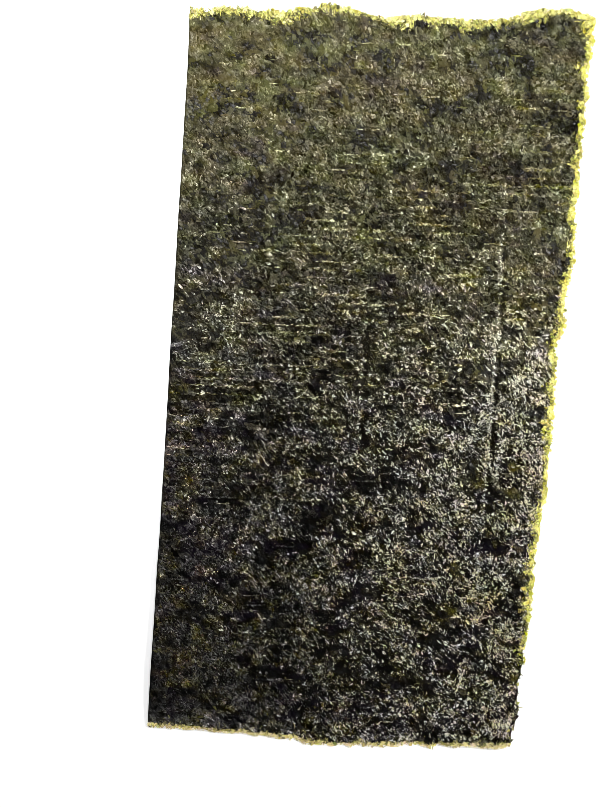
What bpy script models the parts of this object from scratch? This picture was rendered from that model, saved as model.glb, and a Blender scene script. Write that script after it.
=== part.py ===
"""Half-cut nori sheet: one thin, crisp sheet of pressed and dried seaweed, lying as it does on a table.

Metres, +Z up. X runs across the sheet, Y along its length. The origin is the middle of the sheet's
footprint, on the surface that it rests on. One long side is a straight knife cut, because a full sheet
was cut in two. The other three sides are the ragged margin that the sheet dried with.
"""

import bmesh
import bpy
import numpy as np
from mathutils import Vector
from mathutils.geometry import delaunay_2d_cdt

# Driving dimensions of the sheet
WIDTH = 0.0986  # from the cut side to the ragged side, at the corners
LENGTH = 0.1886
THICKNESS = 0.00026  # pressed flakes, in the body of the sheet
MARGIN_THICKNESS = 0.6  # share of it that is left at the rim

# How far the sheet is out of square: the short sides climb from the cut side to the ragged side, and the
# long sides lean by this much for each metre of y
TOP_CLIMB = 0.0034
BOTTOM_CLIMB = 0.0021
LEAN = 0.008

# How each side waves out from the line between its corners: the heights of 1, 2, 3 and more half waves
# along it. The sides go anticlockwise from the ragged long side.
SIDE_WAVES = (
    (0.0014, -0.0001, 0.0002, 0.0, -0.0002, 0.0003, 0.0001, -0.0002),
    (-0.0001, -0.0005, 0.0, 0.0007, 0.0001, 0.0002, 0.0005),
    (0.0,),
    (0.0014, -0.0002, -0.0005),
)

# Corner rounding, anticlockwise from the right end of the bottom side
BOTTOM_RIGHT_RADIUS = 0.0030
TOP_RIGHT_RADIUS = 0.0016
CUT_CORNER_RADIUS = 0.0007

# Raggedness of the margin: (distance between random points, how far they stray)
MARGIN_WANDER = ((0.0085, 0.00035), (0.0034, 0.00050), (0.0016, 0.00035))
CUT_WANDER = ((0.0600, 0.00015), (0.0090, 0.00008))
MARGIN_SEED = 94
CUT_SEED = 12

# Lie of the sheet: places that curl up off the table, as (x, y, reach along x, reach along y, height)
CURLS = (
    (0.050, 0.096, 0.026, 0.030, 0.0042),
    (-0.052, 0.100, 0.034, 0.026, 0.0019),
    (0.056, 0.010, 0.020, 0.038, 0.0016),
    (-0.054, -0.070, 0.024, 0.040, 0.0022),
    (0.034, -0.104, 0.040, 0.024, 0.0018),
)
# Cockle: shallow waves from drying, as (wavelength, direction in turns, phase in turns, height)
COCKLE = (
    (0.0610, 0.06, 0.10, 0.00034),
    (0.0430, 0.21, 0.55, 0.00028),
    (0.0290, 0.40, 0.35, 0.00014),
)
SAG = 0.00062  # how far its weight presses the waves down, so that the low ones lie flat
EASE = 0.00030  # softens the turn from the flat places into the raised ones

# Creases that the threads of the drying mat left, as (x halfway along, lean of x for each metre of y)
CREASES = ((-0.0334, -0.016), (0.0006, -0.028), (0.0340, -0.022))
CREASE_RISE = 0.00018
CREASE_REACH = 0.0011

# Mesh fineness
RIM_STEP = 0.0011
CUT_STEP = 0.0040
LATTICE = 0.0042
RIM_CLEARANCE = 0.0017  # the lattice stops this far inside the rim
CREASE_CLEARANCE = 0.0028  # and this far from the middle of a crease, which has rows of its own

SHEET_COLOUR = (0.052, 0.050, 0.030, 1.0)
SHEET_ROUGHNESS = 0.46


def clear_scene():
    for item in list(bpy.data.objects):
        bpy.data.objects.remove(item, do_unlink=True)


def random_line(distance, octaves, seed):
    """A ragged offset: straight lines between random points, summed over several spacings."""
    rng = np.random.default_rng(seed)
    total = np.zeros_like(distance)
    for spacing, stray in octaves:
        count = int(np.ceil(distance.max() / spacing)) + 2
        knots = rng.uniform(-1.0, 1.0, count) * stray
        total += np.interp(distance / spacing, np.arange(count), knots)
    return total


def corner_arc(centre, radius, start, step):
    """A quarter turn, anticlockwise from the angle start, as points and outward directions."""
    count = max(2, int(np.ceil(radius * np.pi / 2 / step)))
    angle = start + np.linspace(0.0, np.pi / 2, count + 1)
    outward = np.stack([np.cos(angle), np.sin(angle)], axis=1)
    return np.array(centre) + radius * outward, outward


def waved_side(start, end, waves, step):
    """Points between two corners, leaving both out, on a sum of sines, and their outward directions."""
    start, end = np.array(start), np.array(end)
    length = np.linalg.norm(end - start)
    share = np.linspace(0.0, 1.0, max(2, int(round(length / step))) + 1)[1:-1, None]
    along = (end - start) / length
    outward = np.array([along[1], -along[0]])
    stray = sum(height * np.sin(np.pi * (number + 1) * share) for number, height in enumerate(waves))
    points = start + share * (end - start) + stray * outward
    return points, np.tile(outward, (len(share), 1))


def outline():
    """The rim, anticlockwise: a rounded, slightly skewed rectangle with three ragged sides and a cut one."""
    half_x, half_y = WIDTH / 2, LENGTH / 2
    corners = (
        (half_x, -half_y + BOTTOM_CLIMB / 2, BOTTOM_RIGHT_RADIUS, -np.pi / 2),
        (half_x, half_y + TOP_CLIMB / 2, TOP_RIGHT_RADIUS, 0.0),
        (-half_x, half_y - TOP_CLIMB / 2, CUT_CORNER_RADIUS, np.pi / 2),
        (-half_x, -half_y - BOTTOM_CLIMB / 2, CUT_CORNER_RADIUS, np.pi),
    )
    arcs = []
    for x, y, radius, start in corners:
        centre = (x - np.sign(x) * radius, y - np.sign(y) * radius)
        arcs.append(corner_arc(centre, radius, start, RIM_STEP))
    points, outwards, ragged = [], [], []
    for index, (arc, outward) in enumerate(arcs):
        cut_side = index == 2
        following = arcs[(index + 1) % len(arcs)][0][0]
        step = CUT_STEP if cut_side else RIM_STEP
        side, side_outward = waved_side(arc[-1], following, SIDE_WAVES[index], step)
        points += [arc, side]
        outwards += [outward, side_outward]
        ragged += [np.ones(len(arc)), np.full(len(side), 0.0 if cut_side else 1.0)]
    points, outwards, ragged = np.concatenate(points), np.concatenate(outwards), np.concatenate(ragged)
    distance = np.concatenate([[0.0], np.cumsum(np.linalg.norm(np.diff(points, axis=0), axis=1))])
    margin = random_line(distance, MARGIN_WANDER, MARGIN_SEED)
    cut = random_line(distance, CUT_WANDER, CUT_SEED)
    rim = points + outwards * np.where(ragged > 0.5, margin, cut)[:, None]
    rim[:, 0] += LEAN * rim[:, 1]
    return rim - (rim.max(axis=0) + rim.min(axis=0)) / 2


def off_crease(x, y):
    """How far each point is from the middle of each crease, across the sheet: one row for each crease."""
    return np.stack([x - halfway - lean * y for halfway, lean in CREASES])


def lift(x, y):
    """Height of the underside: curls and cockle, pressed flat where they are low, and the mat's creases."""
    height = -SAG * np.ones_like(x)
    for centre_x, centre_y, reach_x, reach_y, rise in CURLS:
        height += rise * np.exp(-(((x - centre_x) / reach_x) ** 2) - ((y - centre_y) / reach_y) ** 2)
    for wavelength, turn, phase, rise in COCKLE:
        across = x * np.cos(2 * np.pi * turn) + y * np.sin(2 * np.pi * turn)
        height += rise * np.sin(2 * np.pi * (across / wavelength + phase))
    raised = np.maximum(height, 0.0)
    away = np.abs(off_crease(x, y)).min(axis=0)
    crease = CREASE_RISE * np.maximum(0.0, 1.0 - away / CREASE_REACH)
    return raised**2 / (raised + EASE) + crease


def well_inside(points, rim):
    """Which points are inside the rim, by a ray's crossings, and RIM_CLEARANCE from its nearest stretch."""
    following = np.roll(rim, -1, axis=0)
    px, py = points[:, 0, None], points[:, 1, None]
    spans = (rim[:, 1] > py) != (following[:, 1] > py)
    rise = np.where(following[:, 1] == rim[:, 1], 1.0, following[:, 1] - rim[:, 1])
    crossing = rim[:, 0] + (py - rim[:, 1]) / rise * (following[:, 0] - rim[:, 0])
    within = (spans & (px < crossing)).sum(axis=1) % 2 == 1
    gap = following - rim
    share = ((px - rim[:, 0]) * gap[:, 0] + (py - rim[:, 1]) * gap[:, 1]) / (gap**2).sum(axis=1)
    share = np.clip(share, 0.0, 1.0)
    away = np.hypot(px - rim[:, 0] - share * gap[:, 0], py - rim[:, 1] - share * gap[:, 1]).min(axis=1)
    return within & (away > RIM_CLEARANCE)


def lattice(rim):
    """Staggered rows of points that fill the sheet, and three lines of points along each crease."""
    row_gap = LATTICE * np.sqrt(3) / 2
    low, high = rim.min(axis=0), rim.max(axis=0)
    rows = []
    for number, y in enumerate(np.arange(low[1] + row_gap / 2, high[1], row_gap)):
        x = np.arange(low[0] + LATTICE * (0.25 + 0.5 * (number % 2)), high[0], LATTICE)
        away = np.abs(off_crease(x, np.full_like(x, y))).min(axis=0)
        x = x[away > CREASE_CLEARANCE]
        rows.append(np.stack([x, np.full_like(x, y)], axis=1))
    for halfway, lean in CREASES:
        for side in (-1, 0, 1):
            y = np.arange(low[1] + row_gap * (0.5 + 0.5 * side**2), high[1], row_gap)
            rows.append(np.stack([halfway + lean * y + side * CREASE_REACH, y], axis=1))
    points = np.concatenate(rows)
    return points[well_inside(points, rim)]


def sheet_material():
    material = bpy.data.materials.new("pressed_seaweed")
    material.use_nodes = True
    shader = material.node_tree.nodes["Principled BSDF"]
    shader.inputs["Base Color"].default_value = SHEET_COLOUR
    shader.inputs["Roughness"].default_value = SHEET_ROUGHNESS
    material.diffuse_color = SHEET_COLOUR
    return material


def nori_sheet():
    """The underside as one skin of triangles, thickened upwards so that both faces are split alike."""
    rim = outline()
    flat = [Vector(p) for p in np.concatenate([rim, lattice(rim)])]
    ring = [(i, (i + 1) % len(rim)) for i in range(len(rim))]
    inner_faces_only = 1
    points, _, triangles, *_ = delaunay_2d_cdt(flat, ring, [], inner_faces_only, 1e-7)
    xy = np.array([tuple(p) for p in points])
    underside = np.column_stack([xy, lift(xy[:, 0], xy[:, 1])])

    mesh = bpy.data.meshes.new("nori_sheet")
    mesh.from_pydata(underside.tolist(), [], [tuple(t) for t in triangles])
    skin = bmesh.new()
    skin.from_mesh(mesh)
    bmesh.ops.recalc_face_normals(skin, faces=skin.faces)
    if sum(face.normal.z for face in skin.faces) < 0:
        bmesh.ops.reverse_faces(skin, faces=skin.faces)
    at_rim = [vertex.is_boundary for vertex in skin.verts]
    skin.to_mesh(mesh)
    skin.free()
    mesh.shade_smooth()

    sheet = bpy.data.objects.new("nori_sheet", mesh)
    bpy.context.scene.collection.objects.link(sheet)
    mesh.materials.append(sheet_material())
    body = sheet.vertex_groups.new(name="body")
    body.add([i for i, rimmed in enumerate(at_rim) if not rimmed], 1.0, "REPLACE")
    body.add([i for i, rimmed in enumerate(at_rim) if rimmed], 0.0, "REPLACE")
    thicken = sheet.modifiers.new("thickness", "SOLIDIFY")
    thicken.thickness = THICKNESS
    thicken.offset = 1.0
    thicken.vertex_group = body.name
    thicken.thickness_vertex_group = MARGIN_THICKNESS
    return sheet


clear_scene()
nori_sheet()
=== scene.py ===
import bpy
import numpy as np
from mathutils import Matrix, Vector


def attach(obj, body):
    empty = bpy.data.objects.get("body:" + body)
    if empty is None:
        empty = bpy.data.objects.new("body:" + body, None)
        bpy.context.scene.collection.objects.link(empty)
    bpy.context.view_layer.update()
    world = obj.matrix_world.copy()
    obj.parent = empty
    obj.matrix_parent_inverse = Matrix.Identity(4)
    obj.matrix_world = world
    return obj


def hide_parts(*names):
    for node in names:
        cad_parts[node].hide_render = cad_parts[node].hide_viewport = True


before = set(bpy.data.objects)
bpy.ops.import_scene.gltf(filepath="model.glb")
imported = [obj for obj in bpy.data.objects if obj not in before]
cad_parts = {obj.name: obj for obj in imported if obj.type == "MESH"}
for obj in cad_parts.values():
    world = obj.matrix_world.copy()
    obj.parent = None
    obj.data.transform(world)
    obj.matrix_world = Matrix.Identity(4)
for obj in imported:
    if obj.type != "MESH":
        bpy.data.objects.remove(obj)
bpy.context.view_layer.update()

# ==== Pressed web ====
# The sheet itself: chopped seaweed spread over a reed mat, drained and dried to a crisp web a quarter of a
# millimetre thick. One long side is a knife cut. The other three thin out into a ragged margin.

WEB_CELL = 0.0005
WEB_THICKNESS = 0.00024
WEB_RIM_THICKNESS = 0.00009
RIM_RELIEF = 0.4  # share of the relief that is left at the rim
LEAST_THICKNESS = 0.3  # share of the thickness that is left under the deepest mark
UNDER_RELIEF = 0.5  # share of the flakes' relief that shows on the underside
MARGIN_REACH = 0.0026  # how far in from the ragged sides the web is still thinning
NEAR_FRINGE, FAR_FRINGE, RIGHT_FRINGE = 0.0010, 0.0025, 0.0028  # how far in it is yellow, about
RIGHT_FRINGE_END = -0.040  # y where the right fringe has begun to narrow away
RAVEL = ((0.0022, 0.00020), (0.0011, 0.00020))  # (distance between random points, how far they stray)
RAVEL_SEED = 21
SIDE_STRAY = 0.006  # more than a side strays from the middle of its line

# Lie of the sheet, the same as the solid's: curls as (x, y, reach along x, reach along y, height), cockles as
# (wavelength, direction in turns, phase in turns, height)
CURLS = (
    (0.050, 0.096, 0.026, 0.030, 0.0042),
    (-0.052, 0.100, 0.034, 0.026, 0.0019),
    (0.056, 0.010, 0.020, 0.038, 0.0016),
    (-0.054, -0.070, 0.024, 0.040, 0.0022),
    (0.034, -0.104, 0.040, 0.024, 0.0018),
)
COCKLES = (
    (0.0610, 0.06, 0.10, 0.00034),
    (0.0430, 0.21, 0.55, 0.00028),
    (0.0290, 0.40, 0.35, 0.00014),
)
SAG = 0.00062  # how far the cockles are sunk, so that more than half of the sheet lies flat
EASE = 0.00030  # height over which it lifts off the table gently

# Creases that the mat's threads pressed: (x halfway along, lean of x for each metre of y, how firmly pressed,
# how much of a lip, how wide the furrow, y of its middle, reach along y, seed of its breaks)
CREASES = (
    (-0.0334, -0.016, 0.45, 0.40, 1.0, 0.014, 0.050, 91),
    (0.0006, -0.028, 0.80, 0.35, 2.4, 0.010, 0.040, 976),
    (0.0340, -0.022, 1.30, 1.10, 1.5, 0.000, 0.042, 905),
)
CREASE_RISE = 0.00014  # the lip along a crease's left side
CREASE_DEPTH = 0.00010  # the furrow along its right side
CREASE_REACH = 0.00055  # half the width of each
CREASE_WAVER = 0.0003
WAVER_SIZE, PRESSING_SIZE, WIDTH_SIZE = (0.05, 0.009), (0.02, 0.005), (0.004, 0.0019)  # clouds along them
WAVER_SEED, PRESSING_SEED, WIDTH_SEED = 71, 81, 96  # the first crease's
FURROW_BLOB_SIZE = (0.003, 0.0032)

REED_PITCH = 0.00208
REED_CLIMB = 0.026  # for each metre of x
REED_WAVER = 0.00025
REED_RISE = 0.00004
GROOVE_DEPTH = 0.00009
GROOVE_REACH = 0.00028
DASH_REACH = 0.00042  # half the width of the pale dashes along the reed rows
REED_WAVES, REED_PRESSING = ((0.012, 0.02), 91), ((0.011, 0.0021), 92)  # clouds: (size, seed)
REED_PATCHES, DASH_BREAKS = ((0.010, 0.009), 121), ((0.0042, REED_PITCH), 93)
FRAME_MARK_WAVES, FRAME_MARK_BREAKS = ((0.006, 0.01), 161), ((0.004, 0.01), 162)
FRAME_MARK_DEPTH = 0.0027  # in from the far margin
FRAME_MARK_REACH = 0.00035
FRAME_MARK_WAVER = 0.0004

# Flakes that the web is matted from: (size across the sheet, size along it, height), largest first
MATTED_FLAKES = ((0.0052, 0.0036, 0.00003), (0.0026, 0.0017, 0.00005), (0.0012, 0.0009, 0.00004))
MATTED_SEED = 31
WARP = 0.0009  # how far the flakes' edges stray from straight lines
WARP_SIZE, WARP_SEED = (0.0021, 0.0021), 61
DRAINED_HEADING = -0.9  # radians from +X, the way that most loose flakes lie

# Random fields, as layers of clouds: (strength, (size across the sheet, size along it), seed)
FRINGE_CLUMPS = ((0.75, (0.0036, 0.0036), 141), (0.45, (0.0013, 0.0013), 144))
THICK_PATCHES = ((0.85, (0.0058, 0.0036), 101), (0.6, (0.0024, 0.0015), 102))
PALE_PATCH, PALE_CLUMP = ((0.004, 0.003), 151), ((0.0021, 0.0016), 152)
TINT_PATCHES = ((0.4, (0.0085, 0.0045), 111), (0.6, (0.0030, 0.0018), 112))
RICH_PATCHES = (
    (0.15, (0.0045, 0.003), 115),
    (0.25, (0.0020, 0.0015), 116),
    (0.35, *PALE_PATCH),
    (0.35, *PALE_CLUMP),
)

# Pools of painted light, and of painted shade where how much is below 0: places where the flakes are
# painted paler (x, y, reach along x, reach along y, how much)
PAINTED_LIGHT_AND_SHADE_PLACES = (
    (0.040, -0.005, 0.025, 0.030, 0.150),
    (-0.024, 0.036, 0.036, 0.026, 0.038),
    (-0.045, -0.080, 0.030, 0.030, 0.045),
    (0.004, 0.080, 0.030, 0.030, 0.050),
    (-0.042, 0.085, 0.022, 0.022, -0.030),
    (0.000, -0.060, 0.018, 0.035, -0.060),
    (0.000, 0.037, 0.018, 0.018, 0.020),
    (-0.042, 0.002, 0.018, 0.022, 0.066),
    (0.036, -0.070, 0.024, 0.028, 0.145),
)
NEAR_GLOW, RIGHT_GLOW = (0.005, 0.30), (0.0055, 0.18)  # (how far in along those sides, how much)

# Places where the flakes' tones differ more: (x, y, reach along x, reach along y, how much)
VARIED_PLACES = (
    (0.012, 0.080, 0.025, 0.035, 0.12),
    (0.040, 0.030, 0.022, 0.026, -0.24),
    (-0.035, 0.075, 0.020, 0.030, -0.08),
)

# Places where blades dried flat and few flakes lie: (x, y, reach along x, reach along y, how much)
SMOOTH_PLACES = (
    (-0.0445, 0.031, 0.0050, 0.0045, -0.5),
    (-0.028, 0.034, 0.0085, 0.0060, -0.5),
    (-0.018, 0.0148, 0.0045, 0.0040, -0.5),
    (0.044, 0.022, 0.0090, 0.0090, -0.5),
    (0.046, -0.0045, 0.0040, 0.0045, -0.5),
    (-0.047, 0.069, 0.0060, 0.0040, -0.5),
    (-0.032, 0.051, 0.0080, 0.0045, -0.5),
    (-0.023, 0.073, 0.0035, 0.0040, -0.5),
)

FIELD_CORNER = (-0.075, -0.125)  # random fields start here, and reach as far the other way
FIELD_SPAN = (0.150, 0.250)


def lattice_shape(size):
    """Rows and columns of a lattice of cells of that size over the random fields' ground, and 2 to spare."""
    return (int(FIELD_SPAN[1] / size[1]) + 3, int(FIELD_SPAN[0] / size[0]) + 3)


def lattice_place(x, y, size):
    """Column and row of the cell that each point is in, and the share of the cell that it has crossed."""
    across, along = (x - FIELD_CORNER[0]) / size[0], (y - FIELD_CORNER[1]) / size[1]
    column, row = np.floor(across).astype(int), np.floor(along).astype(int)
    return column, row, across - column, along - row


def clouds(x, y, size, seed):
    """Smooth random field from -1 to 1: random lattice values, blended with weights t * t * (3 - 2 * t)."""
    values = np.random.default_rng(seed).uniform(-1.0, 1.0, lattice_shape(size))
    column, row, across, along = lattice_place(x, y, size)
    across, along = across**2 * (3 - 2 * across), along**2 * (3 - 2 * along)
    low = values[row, column] * (1 - across) + values[row, column + 1] * across
    high = values[row + 1, column] * (1 - across) + values[row + 1, column + 1] * across
    return low * (1 - along) + high * along


def cloudy(x, y, layers):
    """The sum of layers of clouds, each strength * clouds."""
    return sum(strength * clouds(x, y, size, seed) for strength, size, seed in layers)


def mounds(x, y, places):
    """The sum of mounds, each height * exp(-(way along x / reach) ** 2 - (way along y / reach) ** 2)."""
    total = np.zeros_like(x)
    for centre_x, centre_y, reach_x, reach_y, height in places:
        total += height * np.exp(-(((x - centre_x) / reach_x) ** 2) - ((y - centre_y) / reach_y) ** 2)
    return total


def as_share(value):
    """Held between 0 and 1."""
    return np.clip(value, 0.0, 1.0)


def mosaic(x, y, size, seed):
    """Matted flakes: each point belongs to the nearest of the jittered lattice points, and stands at that
    flake's level plus its slope times the way from its middle, from -1 to 1."""
    rng = np.random.default_rng(seed)
    shape = lattice_shape(size)
    middle = rng.uniform(0.1, 0.9, (2, *shape))
    slope = rng.normal(0.0, 0.7, (2, *shape))
    level = rng.uniform(-0.6, 0.6, shape)
    column, row, across, along = lattice_place(x, y, size)
    nearest, height = np.full(x.shape, np.inf), np.zeros_like(x)
    for row_step in (-1, 0, 1):
        for column_step in (-1, 0, 1):
            there = (row + row_step, column + column_step)
            way_x = across - column_step - middle[0][there]
            way_y = along - row_step - middle[1][there]
            distance = way_x**2 + way_y**2
            raised = level[there] + slope[0][there] * way_x + slope[1][there] * way_y
            height = np.where(distance < nearest, raised, height)
            nearest = np.minimum(nearest, distance)
    return height


def random_line(distance, octaves, seed):
    """A ragged offset: straight lines between random points, summed over several spacings."""
    rng = np.random.default_rng(seed)
    total = np.zeros_like(distance)
    for spacing, stray in octaves:
        count = int(np.ceil(np.ptp(distance) / spacing)) + 2
        knots = rng.uniform(-1.0, 1.0, count) * stray
        total += np.interp((distance - distance.min()) / spacing, np.arange(count), knots)
    return total


def rim_of(node):
    """The rim of a thin solid, by bearing from the middle: where only one downward face has an edge."""
    place = np.empty(3 * len(node.data.vertices), np.float32)
    node.data.vertices.foreach_get("co", place)
    place = place.reshape(-1, 3).astype(float)
    corner = np.empty(len(node.data.loops), np.int32)
    node.data.loops.foreach_get("vertex_index", corner)
    _, first, merged = np.unique(np.round(place, 6), axis=0, return_index=True, return_inverse=True)
    faces = merged.ravel()[corner].reshape(-1, 3)
    a, b, c = (place[first[faces[:, i]]] for i in range(3))
    normal = np.cross(b - a, c - a)
    downward = faces[normal[:, 2] < -0.5 * np.linalg.norm(normal, axis=1)]
    edges = np.sort(np.concatenate([downward[:, [0, 1]], downward[:, [1, 2]], downward[:, [2, 0]]]), axis=1)
    edges, times = np.unique(edges, axis=0, return_counts=True)
    rim = place[first[np.unique(edges[times == 1])], :2]
    return rim[np.argsort(np.arctan2(rim[:, 1], rim[:, 0]))]


RIM = rim_of(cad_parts["nori_sheet"])


def side_between(start, end, along_axis, ravel_seed):
    """One side of the rim, as points sorted along an axis, with finer ravelling added square to that axis."""
    low, high = sorted((start[along_axis], end[along_axis]))
    across_axis = 1 - along_axis
    middle = (start[across_axis] + end[across_axis]) / 2
    near = np.abs(RIM[:, across_axis] - middle) < SIDE_STRAY
    side = RIM[near & (RIM[:, along_axis] >= low) & (RIM[:, along_axis] <= high)]
    side = side[np.argsort(side[:, along_axis])]
    fine = np.linspace(low, high, int((high - low) / WEB_CELL) + 1)
    across = np.interp(fine, side[:, along_axis], side[:, across_axis])
    if ravel_seed is not None:
        across += random_line(fine, RAVEL, ravel_seed)
    return fine, across


def rim_corner(toward_x, toward_y):
    """The rim point that reaches furthest towards a corner."""
    return RIM[np.argmax(toward_x * RIM[:, 0] + toward_y * RIM[:, 1])]


BOTTOM_LEFT, BOTTOM_RIGHT = rim_corner(-1, -1), rim_corner(1, -1)
TOP_LEFT, TOP_RIGHT = rim_corner(-1, 1), rim_corner(1, 1)
BOTTOM_SIDE = side_between(BOTTOM_LEFT, BOTTOM_RIGHT, 0, RAVEL_SEED)
TOP_SIDE = side_between(TOP_LEFT, TOP_RIGHT, 0, RAVEL_SEED + 1)
RAGGED_SIDE = side_between(BOTTOM_RIGHT, TOP_RIGHT, 1, RAVEL_SEED + 2)
CUT_SIDE = side_between(BOTTOM_LEFT, TOP_LEFT, 1, None)


def spread(u, v):
    """Place on the sheet of a share u across and v along it: a Coons patch. Each side's curve is blended
    towards the opposite side's, and the blend of the four corners, which both counted, is taken off."""
    across, along = u[..., None], v[..., None]
    low = BOTTOM_LEFT + across * (BOTTOM_RIGHT - BOTTOM_LEFT)
    high = TOP_LEFT + across * (TOP_RIGHT - TOP_LEFT)
    left = BOTTOM_LEFT + along * (TOP_LEFT - BOTTOM_LEFT)
    right = BOTTOM_RIGHT + along * (TOP_RIGHT - BOTTOM_RIGHT)
    flat_x = left[..., 0] * (1 - u) + right[..., 0] * u
    flat_y = low[..., 1] * (1 - v) + high[..., 1] * v
    bottom_stray = np.interp(low[..., 0], *BOTTOM_SIDE) - low[..., 1]
    top_stray = np.interp(high[..., 0], *TOP_SIDE) - high[..., 1]
    left_stray = np.interp(left[..., 1], *CUT_SIDE) - left[..., 0]
    right_stray = np.interp(right[..., 1], *RAGGED_SIDE) - right[..., 0]
    return flat_x + left_stray * (1 - u) + right_stray * u, flat_y + bottom_stray * (1 - v) + top_stray * v


def from_sides(x, y):
    """How far each place is in from the near, the far, the right and the cut side."""
    near, far = y - np.interp(x, *BOTTOM_SIDE), np.interp(x, *TOP_SIDE) - y
    return near, far, np.interp(y, *RAGGED_SIDE) - x, x - np.interp(y, *CUT_SIDE)


def margin_share(x, y):
    """1 on the ragged sides, 0 from MARGIN_REACH inwards."""
    return as_share(1 - np.minimum.reduce(from_sides(x, y)[:3]) / MARGIN_REACH)


def rim_distance(x, y):
    """How far each place is from the nearest side, the cut one among them."""
    return np.minimum.reduce(from_sides(x, y))


def thinness(x, y):
    """How thin and yellow the web is, from 1 on the ragged sides to 0 where each side's fringe ends. Fringes
    are wide and thin by clumps, widest at the far side, and narrow at the near right."""
    clump = np.maximum(1.0 + cloudy(x, y, FRINGE_CLUMPS), 0.15)
    near, far, right, _ = from_sides(x, y)
    near, far = 1 - near / NEAR_FRINGE / clump, 1 - far / FAR_FRINGE / clump
    right = 1 - right / RIGHT_FRINGE / clump
    right *= as_share(1.0 + 30.0 * (y - RIGHT_FRINGE_END) + 0.4 * (clump - 1))
    return as_share(np.maximum(np.maximum(near, far), right))


def lift(x, y):
    """Height of the underside: curls and cockles, pressed flat where they are low."""
    height = mounds(x, y, CURLS) - SAG
    for wavelength, turn, phase, rise in COCKLES:
        across = x * np.cos(2 * np.pi * turn) + y * np.sin(2 * np.pi * turn)
        height += rise * np.sin(2 * np.pi * (across / wavelength + phase))
    raised = np.maximum(height, 0.0)
    return raised**2 / (raised + EASE)


def crease_line(number, y):
    """x of a thread crease at each y: a leaning line that wavers."""
    halfway, lean = CREASES[number][:2]
    waver = clouds(np.full_like(y, halfway), y, WAVER_SIZE, WAVER_SEED + number)
    return halfway + lean * y + CREASE_WAVER * waver


def crease(x, y):
    """Thread creases: a lip beside a furrow, each a smooth mound about its own line, and the furrow broken up
    into blobs. Gives the height, and how far up a lip and down a furrow each point is, from 0 to 1."""
    height, ridge, furrow = np.zeros_like(x), np.zeros_like(x), np.zeros_like(x)
    for number, (_, _, firmness, lipped, wide, middle, reach, seed) in enumerate(CREASES):
        away = (x - crease_line(number, y)) / CREASE_REACH
        pressed = firmness * np.exp(-(((y - middle) / reach) ** 2))
        strength = as_share(pressed * (1.0 + 0.5 * clouds(x, y, PRESSING_SIZE, PRESSING_SEED + number)))
        blobs = as_share(0.3 + 1.7 * clouds(x, y, FURROW_BLOB_SIZE, seed))
        width = wide * (1.0 + 0.4 * clouds(x, y, WIDTH_SIZE, WIDTH_SEED + number))
        lip = lipped * strength * np.exp(-((away + 0.8) ** 2))
        trough = strength * blobs * np.exp(-(((away - 0.6 - 0.5 * width) / width) ** 4))
        height += CREASE_RISE * lip - CREASE_DEPTH * trough
        ridge, furrow = np.maximum(ridge, lip), np.maximum(furrow, trough)
    return height, ridge, furrow


def reed_groove(x, y):
    """Reed marks: how deep each point is in a groove between two reeds, from 0 to 1, and how high on a reed's
    own wave, from -1 to 1, both less where the reeds pressed less."""
    phase = (y - REED_CLIMB * x + REED_WAVER * clouds(x, y, *REED_WAVES)) / REED_PITCH
    away = (phase - np.round(phase)) * REED_PITCH
    pressed = as_share(0.45 + 1.1 * clouds(x, y, *REED_PRESSING))
    return pressed * np.exp(-((away / GROOVE_REACH) ** 2)), pressed * np.cos(2 * np.pi * phase)


def frame_mark(x, y):
    """Painted shade inside the far margin: a dark line where the mat's frame pressed, exp(-(d / reach) ** 2),
    broken up.
    """
    away = from_sides(x, y)[1] - FRAME_MARK_DEPTH - FRAME_MARK_WAVER * clouds(x, 0 * y, *FRAME_MARK_WAVES)
    strength = as_share(0.6 + 0.8 * clouds(x, 0 * y, *FRAME_MARK_BREAKS))
    return strength * np.exp(-((away / FRAME_MARK_REACH) ** 2))


def hollow(x, y):
    """How far down a furrow or the frame's mark each place is, from 0 to 1. Few flakes lie there, and it is
    painted black as painted shade."""
    return np.maximum(crease(x, y)[2], frame_mark(x, y))


def reedy(x, y):
    """How plainly the reeds show at each place, from 0 to 1: most in a band that climbs to the right."""
    band = np.exp(-(((y - 0.033 - 0.6 * x) / 0.042) ** 2))
    return as_share(0.05 + 0.65 * band + (0.25 + 0.35 * band) * clouds(x, y, *REED_PATCHES))


def on_dash(x, y):
    """How plainly each place is on a pale dash, from 0 to 1: every reed row is broken up in its own way."""
    phase = (y - REED_CLIMB * x) / REED_PITCH
    row = np.round(phase)
    shown = as_share(0.1 + 1.8 * clouds(x, row * REED_PITCH, *DASH_BREAKS))
    return shown * np.exp(-(((phase - row) * REED_PITCH / DASH_REACH) ** 2))


def thickly(x, y):
    """How thickly curled flakes cover each place, from 0, a smooth blade, to 1: clouds of two sizes and the
    smooth places, over a slow lean towards the near right that is painted light and shade: more pale chips
    and black gaps there stand in for the sparkle that the lamps make."""
    # the lean, 1.5 * x - 1.5 * y, is painted light and shade
    return as_share(0.60 + 1.5 * x - 1.5 * y + mounds(x, y, SMOOTH_PLACES) + cloudy(x, y, THICK_PATCHES))


def near_right(x, y):
    """1 at the near right, where the flakes are finest and the web under them is painted blacker as painted
    shade, 0 far off.
    """
    return as_share(0.3 - 12.0 * y) * as_share(0.6 + 15.0 * x)


def variety(x, y):
    """How far the flakes' tones differ at each place: least at the far left, most at the near right. The wide
    spread at the near right is painted sparkle and shade, and the narrow one at the far end the sheen's
    painted haze.
    """
    # the spread by place is painted sparkle, shade and haze
    along = 1.15 - 0.48 * np.tanh(y / 0.035) - 50.0 * y**2
    across = x * (8.5 - 8.0 * np.tanh(y / 0.035))
    return np.maximum(along + across, 0.3) + mounds(x, y, VARIED_PLACES)


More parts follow.
